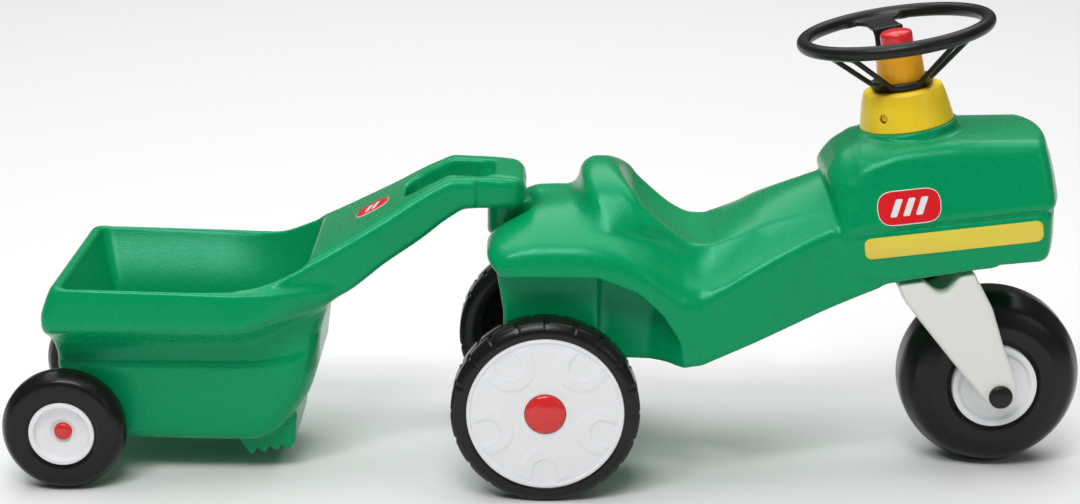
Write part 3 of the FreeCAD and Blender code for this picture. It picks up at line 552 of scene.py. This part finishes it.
def tractor_field(x, y, z):
    """Whole body: shell, frame, saddle back, hood, collar seat, hitch pin, fork room, spindle."""
    radial, height = about_steering(x, y, z)
    shell = rmax(outline(x, z, SHELL_SIDE), np.abs(y) - profile(x, WIDTH), 5)
    shell = rmax(shell, plate(x, y, -69, 420, 113, 36), 6)
    crease = profile(x, [(60, 15), (130, 14), (170, 7), (340, 5)])
    shell = rmax(shell, (z - shell_top(x, y)) * 0.85, crease)
    shell = smax(shell, x - 345, 4)
    arch = np.maximum(outline(x, z, WHEEL_ARCH), 56 - np.abs(y))
    shell = smax(shell, -arch, 4)
    inner = rmax(outline(x, z, FRAME_SIDE), np.abs(y) - profile(x, FRAME_WIDTH), 4)
    body = smin(shell, inner, 5)
    body = smin(body, saddle_back(x, y, z), 20)
    body = smin(body, hood_field(x, y, z), 4)
    seat_radius, seat_height = 49.5, -92.4  # flat round seat under the collar
    pad = rmax(rmax(radial - seat_radius, height - seat_height, 2.5), -height - 125, 2)
    body = smin(body, pad, 7)
    from_hitch = np.hypot(x - HITCH_X, y)
    neck = rmax(from_hitch - NECK_RADIUS, np.abs(z - 254) - 18, 2.5)
    pin = rmax(from_hitch - PIN_RADIUS, np.abs(z - 270) - 20, 2)
    body = smin(smin(body, neck, 4), pin, 2)
    ceiling = (339 - RIM[0]) * -math.sin(LEAN) + (208 - RIM[2]) * math.cos(LEAN)
    fork_room = rmax(radial - 88, height - ceiling, 3)
    body = smax(body, -fork_room, 2)
    spindle_radius, spindle_height = 17.5, -232
    spindle = rmax(radial - spindle_radius, np.abs(height - spindle_height) - 20, 2)
    return smin(body, spindle, 3)


tractor = sculpt(
    "tractor_moulding", tractor_field, (-70, -114, 64), (504, 114, 358), 2.5, GREEN, rounds=3
)
stand_in(tractor, "tractor", "tractor_body")

# ------------------------------------------------------------------ cart body

# Stations of the tub and of the room inside it, as (z, place): its rear, its half width, the
# place where it starts to narrow, its nose and the nose's half width.
TUB = {
    "rear": [
        (37, -478), (62, -482), (100, -486), (130, -488), (150, -493), (176, -494), (194, -489),
        (208, -483),
    ],
    "half": [
        (37, 77), (62, 80), (100, 83), (117, 84.5), (124, 81.5), (136, 82.5), (145, 87),
        (164, 115.5), (170, 118.3), (186, 116.5), (204, 113.5), (212, 111.5),
    ],
    "kink": [
        (37, -284), (62, -268), (84, -256), (117, -246), (134, -242), (160, -288), (178, -290),
        (208, -296),
    ],
    "nose": [
        (30, -285), (37, -277), (48, -264), (62, -254), (84, -241), (117, -230), (167, -213),
        (194, -204), (240, -200),
    ],
    "nose_half": [(37, 60), (62, 64), (117, 68), (134, 70), (165, 84), (208, 84)],
}
CAVITY = {
    "rear": [(56, -440), (150, -460), (204, -474), (230, -478)],
    "half": [(56, 66), (137, 76), (204, 108.5), (230, 121)],
    "kink": [(56, -294), (204, -322), (230, -327)],
    "nose": [(56, -266), (230, -236)],
    "nose_half": [(56, 50), (137, 66), (230, 88)],
}
# Stations of the tongue, as (x, place): its underside, its top and its half width.
TONGUE = {
    "low": [
        (-300, 168), (-236, 180), (-203, 193), (-162, 222), (-129, 243), (-100, 264), (-84, 272),
        (-40, 273), (-24, 275),
    ],
    "top": [
        (-330, 202), (-296, 205), (-290, 206), (-236, 230), (-170, 265.5), (-112, 299),
        (-98, 304.5), (-60, 304), (-38, 302), (-24, 297),
    ],
    "half": [
        (-300, 106), (-275, 101), (-236, 91), (-183, 78), (-140, 65), (-100, 54.5), (-70, 51),
        (-40, 49),
    ],
}


RIDGE_PITCH, RIDGE_STEP = 12, 1.7  # the foot's ridges, each a little higher than the last
FOOT_SIDE = [(-316, 44), (-312, 30, 4)]
for ridge in range(4):
    start = -306 + ridge * RIDGE_PITCH
    low = 17.5 + ridge * RIDGE_STEP
    FOOT_SIDE += [
        (start, low + 5, 1), (start + 3, low, 2), (start + 9, low, 2), (start + 10.5, low + 5, 1),
    ]
FOOT_SIDE += [(-257, 28, 2), (-254, 60)]


def plan_field(x, y, at, k):
    """Level section of the tub: a box with a narrower nose, with softened upright edges."""
    ay = np.abs(y)
    run, drop = at["nose"] - at["kink"], at["half"] - at["nose_half"]
    slant = ((ay - at["half"]) * run + (x - at["kink"]) * drop) / np.hypot(run, drop)
    field = smax(at["rear"] - x, ay - at["half"], k)
    return smax(smax(field, slant, k), x - at["nose"], k)


def stations_at(table, place):
    """Every curve of a table at one place."""
    return {key: profile(place, stations) for key, stations in table.items()}


def tongue_field(x, y, z):
    """Tapered drawbar with a shallow valley along each edge of its crown and a rounded end."""
    at = stations_at(TONGUE, x)
    ay = np.abs(y)
    sides = ay - at["half"]
    crown = at["top"] - 1.2 * (y / at["half"]) ** 2
    valley = 1.5 * np.exp(-(((ay - at["half"] + 12.5) / 3.2) ** 2))
    crown = crown - valley
    slope = 0.88
    field = rmax((z - crown) * slope, sides, 9)
    field = rmax(field, (at["low"] - z) * slope, 7)
    field = rmax(field, plate(x, y, -420, -25, 200, 22), 8)
    end = plate(x, y, -420, -25, 49, 24)
    field = smax(field, np.where(x > -75, end, -50), 4)
    return np.maximum(field, -302 - x)


def cart_field(x, y, z):
    """Whole cart body: tub, tongue and foot, less its room, grip slot, pin socket and axle bore."""
    ay = np.abs(y)
    lift = profile(x, [(-330, 0), (-300, 1), (-275, 8), (-239, 22), (-205, 34)])
    flare = z - lift * np.clip((z - 110) / 40, 0, 1)
    tub = plan_field(x, y, stations_at(TUB, flare), 13) * 0.8
    tub = rmax(tub, z - 207.5 + 0.028 * (x + 480), 3.5)
    tub = smax(tub, profile(x, [(-480, 39), (-300, 36), (-270, 40)]) - z, 12)
    tongue = tongue_field(x, y, z)
    body = smin(tub, tongue, 9)
    room = plan_field(x, y, stations_at(CAVITY, z), 12)
    room = smax(room, 58 - z, 14)
    body = rmax(body, -room, 3)
    slot = plate(x, y, -146, profile(z, [(287, -65), (296, -58)]), 32, 15)
    body = rmax(body, -slot, 6)
    foot = rmax(outline(x, z, FOOT_SIDE), ay - 60, 3)
    body = smin(body, foot, 3)
    from_hitch = np.hypot(x - HITCH_X, y)
    socket = rmax(from_hitch - SOCKET_RADIUS, np.abs(z - 262) - 30, 1)
    body = smax(body, -socket, 1.5)
    bore = np.hypot(x - CART_AXLE[0], z - CART_AXLE[1]) - CART_BORE
    return smax(body, -bore, 1)


cart = sculpt("cart_moulding", cart_field, (-497, -120, 16), (-23, 120, 305), 2.3, GREEN, rounds=4)
stand_in(cart, "cart", "cart_body")

# ------------------------------------------------------------------ wheels

SIDES = ((1, "left"), (-1, "right"))


def ring_faces(rows, segments):
    """Quads of a closed tube of rings, each with the same number of points."""
    faces = []
    for row in range(rows):
        a, b = row * segments, (row + 1) % rows * segments
        for i in range(segments):
            j = (i + 1) % segments
            faces.append([a + i, a + j, b + j, b + i])
    return faces


def lugged_tyre(name, place):
    """Rear tyre: two staggered rows of low blocks round the tread and fine lines on its wall."""
    segments, lugs = 400, 20
    base, radius = 90.4, 92.0  # floor and top of the tread
    inner, outer, seat = 100.0, 138.5, 76.55  # both walls, and the radius where the disc sits
    bore, web = 5.1, outer - 7.2
    angle = np.arange(segments) * 2 * math.pi / segments
    half_pitch = math.pi / lugs

    def blocks(row_shift):
        wave = np.cos(lugs * (angle + row_shift))
        return np.clip((wave + 0.93) * 9, 0, 1)

    rows = []

    def ring(radial, height):
        rows.append((np.broadcast_to(radial, segments), np.broadcast_to(height, segments)))

    first, second = blocks(0.0), blocks(half_pitch)
    centre = (inner + outer) / 2
    groove_half = 0.9
    ring(bore, 89.0)
    ring(15.0, 89.0)
    ring(16.0, 90.0)
    ring(16.0, 104.0)
    ring(19.0, web - 6)
    ring(66.0, web - 6)
    ring(70.0, web - 9)
    ring(71.0, inner + 3)
    ring(73.5, inner + 0.6)
    ring(78.0, inner)
    ring(84.5, inner + 0.4)
    ring(base - 2.6, inner + 2.4)
    low = base - 0.2
    for y, level in (
        (inner + 4.4, 0.55), (inner + 6.4, 1.0), (centre - 2.6, 1.0), (centre - groove_half, 0.9),
    ):
        ring(low + (radius - low) * first * level, y)
    ring(low, centre - groove_half * 0.6)
    ring(low, centre + groove_half * 0.6)
    for y, level in (
        (centre + groove_half, 0.9), (centre + 2.6, 1.0), (outer - 7.0, 1.0), (outer - 5.2, 0.6),
    ):
        ring(low + (radius - low) * second * level, y)
    mark = np.clip((np.cos(lugs * (angle + half_pitch)) + 0.985) * 60, 0, 1)
    ring(base - 2.4, outer - 3.0 - 0.5 * (1 - second))
    ring(base - 5.0, outer - 1.0 - 0.7 * (1 - mark))
    ring(base - 8.0, outer - 0.3 - 0.7 * (1 - mark))
    ring(seat + 2.2, outer - 0.3)
    ring(seat + 0.6, outer - 0.9)
    ring(seat, outer - 1.6)
    ring(seat, web)
    ring(bore, web)
    points = []
    for radial, height in rows:
        points += list(zip(radial * np.cos(angle), radial * np.sin(angle), height))
    faces = ring_faces(len(rows), segments)
    return mesh_object(name, placed(points, place), faces, TYRE, 38)


def embossing(px, py):
    """Height of the pattern on a rear disc: five raised horseshoes, each with a sunken middle."""
    height = np.zeros(px.shape)
    count, first_angle = 5, 54
    for n in range(count):
        a = math.radians(first_angle + 360 // count * n)
        along = px * math.cos(a) + py * math.sin(a)
        side = -px * math.sin(a) + py * math.cos(a)

        def shoe(radius, centre):
            outside = np.hypot(side, np.minimum(along - centre, 0.0)) - radius
            return 1 / (1 + np.exp(np.clip(outside * 2.0, -30, 30)))

        height += 1.0 * shoe(24.0, 58.0) - 1.6 * shoe(12.0, 59.0)
    radius = np.hypot(px, py)
    rim = 1.0 / (1 + np.exp((radius - 69.5) * 2.4))
    return height * rim


def disc(name, place):
    """Rear disc with its embossed face, as a fine polar grid closed at the back."""
    segments, recess, border = 360, 1.1, 73.0
    face, back, hole, rim = 138.0, 132.5, 20.4, 76.5
    radii = np.linspace(hole + 0.8, 73.8, 84)
    angle = np.arange(segments) * 2 * math.pi / segments
    rows = [
        (hole, back), (rim, back), (rim, face - 1.2), (rim - 0.4, face - 0.35), (rim - 1.2, face),
    ]
    points = []
    for radius, height in rows:
        points += [(radius * math.cos(a), radius * math.sin(a), height) for a in angle]
    for radius in radii[::-1]:
        px, py = radius * np.cos(angle), radius * np.sin(angle)
        step = recess if radius < border else 0.0
        points += list(zip(px, py, face - step + embossing(px, py)))
    points += [(hole * math.cos(a), hole * math.sin(a), face - 1.2) for a in angle]
    faces = ring_faces(len(rows) + len(radii) + 1, segments)
    return mesh_object(name, placed(points, place), faces, WHITE, 50)


def cap(name, radius, base, face, place, material, rounding):
    """Domed push-on cap."""
    crown = radius * 0.2
    return lathe(name, [
        (0, base), (radius, base), (radius, face - crown - 0.4, rounding),
        (radius * 0.8, face - crown * 0.42, radius), (radius * 0.4, face, radius), (0, face),
    ], place, material, 96)


for side, word in SIDES:
    rear = turned(REAR_AXLE, side)
    tyre = lugged_tyre(f"rear_tyre_skin_{word}", rear)
    stand_in(tyre, f"rear_wheel_{word}", f"rear_tyre_{word}")
    face = disc(f"rear_disc_skin_{word}", rear)
    stand_in(face, f"rear_wheel_{word}", f"rear_disc_{word}")
    button = cap(f"rear_cap_{word}", 20.0, 132.0, 142.3, rear, RED, 7)
    stand_in(button, "tractor", "rear_axle_caps")

    trailer = turned(CART_AXLE, side)
    tyre = lathe(f"cart_tyre_skin_{word}", [
        (32.15, 89), (36, 86, 3), (54, 86, 7), (60.7, 98, 13), (60.7, 110, 13), (54, 121.2, 10),
        (36.5, 122, 3), (32.15, 120),
    ], trailer, TYRE, 128)
    stand_in(tyre, f"cart_wheel_{word}", f"cart_tyre_{word}")
    hub = lathe(f"cart_hub_skin_{word}", [
        (4.05, 84), (14, 84, 2), (14, 91, 2), (32.1, 91), (32.1, 122.5, 1.6), (27.6, 122.5, 1.6),
        (25.5, 117.5, 2), (22.5, 116.5, 3), (12.5, 113.8, 2), (10.8, 112.2, 1), (9, 112.2),
        (9, 110.6), (4.05, 110.6),
    ], trailer, WHITE, 96)
    stand_in(hub, f"cart_wheel_{word}", f"cart_hub_{word}")
    button = cap(f"cart_cap_{word}", 8.5, 111.0, 117.0, trailer, RED, 2.5)
    stand_in(button, "cart", "cart_axle_caps")

    button = cap(f"front_cap_{word}", 11.7, 75.0, 81.0, turned(FRONT_AXLE, side), BLACK, 2.5)
    stand_in(button, "steering", "front_axle_caps")

front = turned(FRONT_AXLE, 1)  # the front wheel's outlines run right across it
tyre = lathe("front_tyre_skin", [
    (42.45, -38), (48, -42.5, 4), (62, -43, 14), (81, -36, 20), (91.2, -14, 26), (91.2, 14, 26),
    (81, 36, 20), (62, 43, 14), (48, 42.5, 4), (42.45, 38),
], front, TYRE, 160)
stand_in(tyre, "front_wheel", "front_tyre")
hub = lathe("front_hub_skin", [
    (5.05, -51.4), (14, -51.4, 1), (15, -43, 2), (24, -42, 3), (34, -42.5, 2), (36.5, -45.9, 2),
    (42.3, -46.4, 1.5), (42.3, 46.4, 1.5), (36.5, 45.9, 2), (34, 42.5, 2), (24, 42, 3), (15, 43, 2),
    (14, 51.4, 1), (5.05, 51.4),
], front, WHITE, 112)
stand_in(hub, "front_wheel", "front_hub")

# ------------------------------------------------------------------ fork and steering

LEG = [
    (339, 205, 4), (347, 188, 20), (405, 117, 60), (431, 87, 12), (446, 74, 13), (464, 82, 15),
    (463, 104, 12), (447, 144, 60), (434, 182, 40), (414, 218, 4), (400, 214.5, 5), (385, 193, 22),
    (365, 209, 4),
]


def fork_field(x, y, z):
    """Two legs joined by a web square to the steering axis."""
    outer, inner = 75, 55
    web_low, web_high = -267.5, -255.5
    _, height = about_steering(x, y, z)
    legs = rmax(outline(x, z, LEG), np.abs(y) - outer, 5)
    gap = rmax(np.abs(y) - inner, height - web_low, 9)
    legs = rmax(legs, -gap, 3)
    above = np.maximum(np.abs(y) - inner, web_high - height)
    return smax(legs, -above, 2)


fork = sculpt("fork_skin", fork_field, (336, -77, 72), (466, 77, 220), 1.5, BONE)
stand_in(fork, "steering", "fork")

COLLAR = [
    (42.8, -92.3), (46.6, -92.3, 0.8), (45.2, -84.5, 4), (41.6, -66, 14), (38.8, -57.2, 4.5),
    (34.5, -55.5, 2), (6.05, -55.5), (6.05, -67.5), (12, -67.5), (12, -59.5), (35.5, -59.5, 1.5),
]
SCREW_ANGLES = (232, 52)
SCREW_HEIGHT, SCREW_HOLE = -78.0, 4.25


def collar_field(x, y, z):
    """Tapered cap with a raised rim and a screw hole in each side."""
    radial = np.hypot(x, y)
    field = outline(radial, z, COLLAR)
    for angle in SCREW_ANGLES:
        cos, sin = math.cos(math.radians(angle)), math.sin(math.radians(angle))
        out, along = x * cos + y * sin, -x * sin + y * cos
        hole = np.maximum(np.hypot(along, z - SCREW_HEIGHT) - SCREW_HOLE, 20 - out)
        field = smax(field, -hole, 1.2)
    return field


collar = sculpt(
    "collar_skin", collar_field, (-48, -48, -93), (48, 48, -55), 1.1, YELLOW, place=STEERING
)
stand_in(collar, "tractor", "dash_collar")
barrel = lathe("barrel_skin", [
    (6.02, -54.9), (23.4, -54.9, 1), (23.4, -44, 4), (22.2, -21.5, 2), (20.6, -19, 1.5),
    (16.8, -19.4, 1), (9.4, -19.4), (9.4, -41), (6.02, -41),
], STEERING, AMBER, 96)
stand_in(barrel, "steering", "steering_column")
button = lathe("button_skin", [
    (0, -13.4), (15.9, -13.4), (15.9, -0.6, 4.5), (8, 1.3, 10), (0, 1.5),
], STEERING, RED, 72)
stand_in(button, "horn", "horn_button")

FAR_SPOKE = math.radians(96)
NEAR_SPOKES = ((224, 12.0, 15.0), (308, 8.0, 12.0))  # angle, half width at the ring and the rim
RIM_RADIUS, RIM_TUBE = 90.4, 7.0
RING_HEIGHT = -51.0


def far_spoke_field(x, y, z):
    """Wide plate, flared into the rim, that bends down beside the barrel."""
    along = x * math.cos(FAR_SPOKE) + y * math.sin(FAR_SPOKE)
    side = np.abs(-x * math.sin(FAR_SPOKE) + y * math.cos(FAR_SPOKE))
    narrow, flare = 14.5, 25.0
    run = np.clip(along - 60, 0, flare)
    half = narrow + flare - np.sqrt(flare**2 - run**2)
    top = rmax(rmax(np.abs(z + 3.2) - 2.2, (side - half) * 0.8, 1.2), 30 - along, 1.5)
    top = rmax(top, along - RIM_RADIUS, 1)
    slope = (32 - 25.5) / 52
    drop = np.abs(along - 25.5 - (z + 54) * slope) / math.hypot(1, slope) - 1.9
    drop = rmax(rmax(drop, side - narrow, 1.2), np.abs(z + 28) - 26.5, 1.2)
    return smin(top, drop, 2.5)


def near_spoke_field(x, y, z, angle, inner, outer):
    """Sloping plate with a long window that leaves a bar along each edge."""
    angle = math.radians(angle)
    along = x * math.cos(angle) + y * math.sin(angle)
    side = np.abs(-x * math.sin(angle) + y * math.cos(angle))
    start, end = np.array([27.0, -51.0]), np.array([87.0, -4.5])
    length = np.linalg.norm(end - start)
    run, rise = (end - start) / length
    travel = (along - start[0]) * run + (z - start[1]) * rise
    thick = np.abs((z - start[1]) * run - (along - start[0]) * rise) - 2.4
    share = np.clip(travel / length, 0, 1)
    half = inner + (outer - inner) * share
    spoke = rmax(rmax(thick, side - half, 1.3), np.abs(travel - length / 2) - length / 2, 1)
    window = side - half + 5.0
    window = rmax(window, np.abs(travel - 0.55 * length) - 0.37 * length, 4)
    return smax(spoke, -window, 1.5)


def wheel_field(x, y, z):
    """Steering wheel: rim, base ring and three spokes, flat under the ring."""
    radial = np.hypot(x, y)
    wheel = np.hypot(radial - RIM_RADIUS, z) - RIM_TUBE + 0.05
    ring = rmax(rmax(radial - 30.5, np.abs(z - RING_HEIGHT) - 3.7, 2), 23.6 - radial, 0.8)
    wheel = smin(wheel, ring, 1)
    wheel = smin(wheel, far_spoke_field(x, y, z), 5)
    for spoke in NEAR_SPOKES:
        wheel = smin(wheel, near_spoke_field(x, y, z, *spoke), 3)
    wheel = np.maximum(wheel, -54.8 - z)
    return np.maximum(wheel, 23.6 - radial)


wheel = sculpt(
    "steering_wheel_skin", wheel_field, (-98, -98, -56), (98, 98, 8), 1.4, BLACK, place=STEERING
)
stand_in(wheel, "steering", "steering_wheel")

# ------------------------------------------------------------------ labels


def pill(length, height, radius, x=0.0, lean=0.0):
    """Corners of a rounded rectangle centred x along; lean slants its upright sides."""
    a, b = length / 2, height / 2
    return [
        (x - a - lean, -b, radius), (x + a - lean, -b, radius),
        (x + a + lean, b, radius), (x - a + lean, b, radius),
    ]


def badge(name, origin, along, outward, length, height, bars, body, node_name):
    """Red label with a white edge line and slanted white bars."""
    edge, sunk = 1.6, -1.2
    plates = [
        (pill(length, height, height * 0.47), 0.45, LABEL_WHITE),
        (pill(length - edge, height - edge, height * 0.44), 0.65, LABEL_RED),
    ]
    pitch = length * 0.2
    for bar in range(bars):
        x = (bar - (bars - 1) / 2) * pitch
        corners = pill(pitch * 0.55, height * 0.5, pitch * 0.12, x, pitch * 0.3)
        plates.append((corners, 0.85, LABEL_WHITE))
    for index, (corners, top, material) in enumerate(plates):
        piece = plaque(f"{name}_{index}", origin, along, outward, corners, sunk, top, material)
        if index == 0:
            stand_in(piece, body, node_name)
        else:
            stand_in(piece, body)


TILT = math.radians(7)  # the labels and stripes rise to the front
for side, word in SIDES:
    along = Vector((-side * math.cos(TILT), 0, -side * math.sin(TILT)))
    up_side = Vector((0, -0.2 * side, 1)).normalized()
    outward = along.cross(up_side)
    badge(
        f"hood_label_{word}", (345, side * 76.9, 286.5), along, outward, 62, 34, 3, "tractor",
        f"hood_badge_{word}",
    )
    stripe = plaque(
        f"hood_stripe_skin_{word}", (390, side * 79, 254), along, (0, side, 0), pill(173, 21, 7.5),
        -1.0, 0.7, STRIPE,
    )
    stand_in(stripe, "tractor", f"hood_stripe_{word}")

TONGUE_SLOPE = math.atan(0.535)
badge(
    "cart_label", (-180, 0, 259.9), (math.cos(TONGUE_SLOPE), 0, math.sin(TONGUE_SLOPE)),
    (-math.sin(TONGUE_SLOPE), 0, math.cos(TONGUE_SLOPE)), 38, 34, 2, "cart", "cart_badge",
)

# ------------------------------------------------------------------ stage, lights and camera

FLOOR = plastic("floor", (0.86, 0.86, 0.86), 0.9, pebble=0.02)
bpy.ops.mesh.primitive_plane_add(size=40, location=(0, 0, 0))
floor = bpy.context.object
floor.name = "floor"
floor.data.materials.clear()
floor.data.materials.append(FLOOR)

world = bpy.data.worlds.new("studio")
bpy.context.scene.world = world
world.use_nodes = True
background = world.node_tree.nodes["Background"]
background.inputs["Color"].default_value = (1.0, 1.0, 1.0, 1)
background.inputs["Strength"].default_value = 0.11


def lamp(name, place, target, size, power):
    """Square soft box aimed at a point; places in metres."""
    light = bpy.data.lights.new(name, "AREA")
    light.shape = "SQUARE"
    light.size = size
    light.energy = power
    thing = bpy.data.objects.new(name, light)
    thing.location = place
    aim = Vector(target) - Vector(place)
    thing.rotation_euler = aim.to_track_quat("-Z", "Y").to_euler()
    bpy.context.scene.collection.objects.link(thing)


lamp("overhead", (0.0, 2.0, 4.2), (0, 1.8, 0), 6.0, 240)
lamp("softbox", (-0.3, -1.9, 3.0), (0, 0, 0.2), 1.4, 54)
lamp("key", (-1.0, -1.5, 2.1), (0, 0, 0.2), 0.3, 10)
lamp("fill", (1.9, -1.6, 1.2), (0.1, 0, 0.2), 0.8, 3)

view = bpy.context.scene.view_settings
view.view_transform = "Standard"
view.look = "None"

FRAME_WIDE, FOCAL, SENSOR = 1080, 2194.7, 36.0  # the first two in the frame's pixels
EYE = (-0.0115, -2.1231, 0.8476)
PITCH, ROLL = math.radians(16.6), math.radians(-0.52)
ahead = Vector((0, math.cos(PITCH), -math.sin(PITCH)))
across, down = Vector((1, 0, 0)), Vector((0, -math.sin(PITCH), -math.cos(PITCH)))
right = across * math.cos(ROLL) + down * math.sin(ROLL)
below = -across * math.sin(ROLL) + down * math.cos(ROLL)
lens = bpy.data.cameras.new("camera")
lens.sensor_width = SENSOR
lens.lens = FOCAL / FRAME_WIDE * SENSOR
lens.clip_start, lens.clip_end = 0.05, 100
camera = bpy.data.objects.new("camera", lens)
turn = Matrix((right, -below, -ahead)).transposed().to_4x4()
camera.matrix_world = Matrix.Translation(EYE) @ turn
bpy.context.scene.collection.objects.link(camera)
bpy.context.scene.camera = camera
